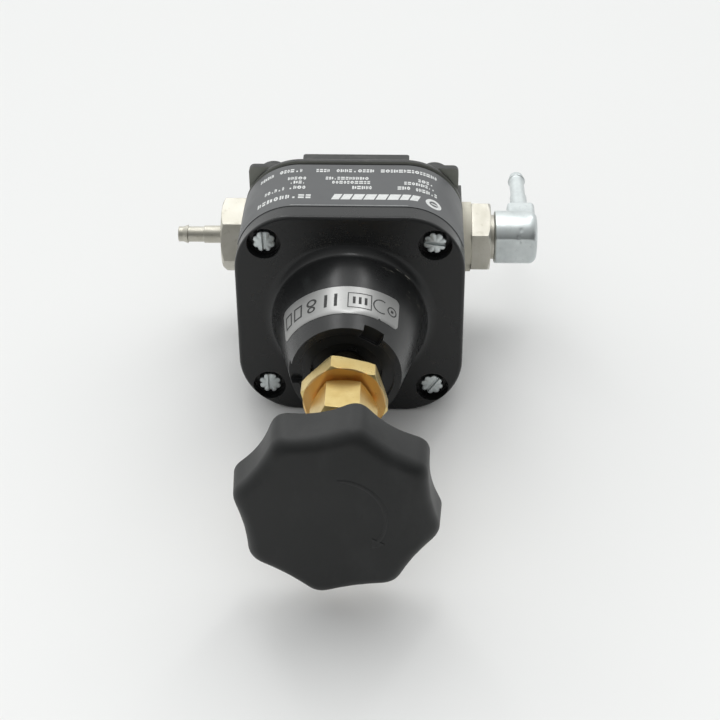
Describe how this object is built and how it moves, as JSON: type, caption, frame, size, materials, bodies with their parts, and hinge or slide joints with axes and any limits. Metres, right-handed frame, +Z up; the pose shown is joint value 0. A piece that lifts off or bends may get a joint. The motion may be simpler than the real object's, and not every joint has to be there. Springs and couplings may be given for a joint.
{
  "type": "air pressure regulator",
  "caption": "Compact air pressure regulator: square black case, conical bonnet, brass gland and lock nut, lobed knob, a straight hose barb and an elbow hose barb.",
  "frame": {"origin": "on the mounting pad, directly below the point where the control axis and the port axis cross; the part lies on its side on this plane", "axes": "+Y along the control axis from the knob to the bottom plug, +X along the port axis toward the elbow fitting, +Z up out of the mounting pad"},
  "size_m": [0.1024, 0.1651, 0.0602],
  "materials": {
    "black_casting": "satin black enamel on a die casting",
    "black_ring": "satin black enamel",
    "brass": "machined",
    "nickel": "dull nickel plate",
    "zinc": "bright zinc plate",
    "steel": "plain",
    "aluminium": "turned",
    "knob_plastic": "fine matt",
    "rubber": "matt",
    "label_dark": "printed film",
    "label_silver": "silver film",
    "fibre": "pale plastic"
  },
  "bodies": {
    "housing": {"body": "black_casting", "spacer_ring": "black_ring", "bonnet": "black_casting", "vent_screen": "brass", "gland_bush": "brass", "control_diaphragm": "rubber", "relay_diaphragm": "rubber", "range_spring": "steel", "valve_seat": "brass", "bottom_plug": "brass", "plug_o_ring": "rubber", "valve_spring": "steel", "gauge_plug": "zinc", "cover_screws": "zinc", "straight_fitting": "nickel", "seal_washer": "fibre", "elbow_adapter": "nickel", "elbow_fitting": "zinc", "case_label": "label_dark", "cone_label": "label_silver"},
    "spring_seat": {"spring_button": "steel"},
    "knob_assembly": {"adjusting_screw": "steel", "knob_insert": "brass", "knob": "knob_plastic"},
    "lock_washer": {"lock_washer": "brass"},
    "lock_nut": {"lock_nut": "brass"},
    "control_assembly": {"control_plate": "aluminium", "control_backing": "aluminium", "control_stem": "brass", "control_nut": "steel"},
    "relay_assembly": {"relay_plate": "aluminium", "relay_piston": "brass"},
    "main_valve": {"main_valve": "brass", "valve_pad": "rubber"}
  },
  "joints": [
    {"name": "spring_seat_travel", "type": "slide", "parent": "housing", "child": "spring_seat", "axis": [0, 1, 0], "range_m": [-0.00101, 0.00601], "deforming": ["range_spring"]},
    {"name": "knob_turn", "type": "hinge", "parent": "spring_seat", "child": "knob_assembly", "pos_m": [0, -0.122, 0.03], "axis": [0, 1, 0], "range_deg": [-360, 2160]},
    {"name": "lock_nut_travel", "type": "slide", "parent": "housing", "child": "lock_washer", "axis": [0, 1, 0], "range_m": [-0.00601, 0.00001]},
    {"name": "lock_nut_turn", "type": "hinge", "parent": "lock_washer", "child": "lock_nut", "pos_m": [0, -0.09, 0.03], "axis": [0, 1, 0], "range_deg": [-2160, 0]},
    {"name": "control_travel", "type": "slide", "parent": "housing", "child": "control_assembly", "axis": [0, 1, 0], "range_m": [-0.0006, 0.0006], "stiffness_N_per_m": 800, "deforming": ["control_diaphragm"]},
    {"name": "relay_travel", "type": "slide", "parent": "housing", "child": "relay_assembly", "axis": [0, 1, 0], "range_m": [-0.0006, 0.0006], "stiffness_N_per_m": 500, "deforming": ["relay_diaphragm"]},
    {"name": "valve_travel", "type": "slide", "parent": "housing", "child": "main_valve", "axis": [0, 1, 0], "range_m": [0, 0.0012], "stiffness_N_per_m": 500, "deforming": ["valve_spring"]}
  ],
  "couplings": [
    {"joint": "spring_seat_travel", "follows": "knob_turn", "m_per_rad": 0.00015915},
    {"joint": "lock_nut_travel", "follows": "lock_nut_turn", "m_per_rad": 0.00015915}
  ]
}
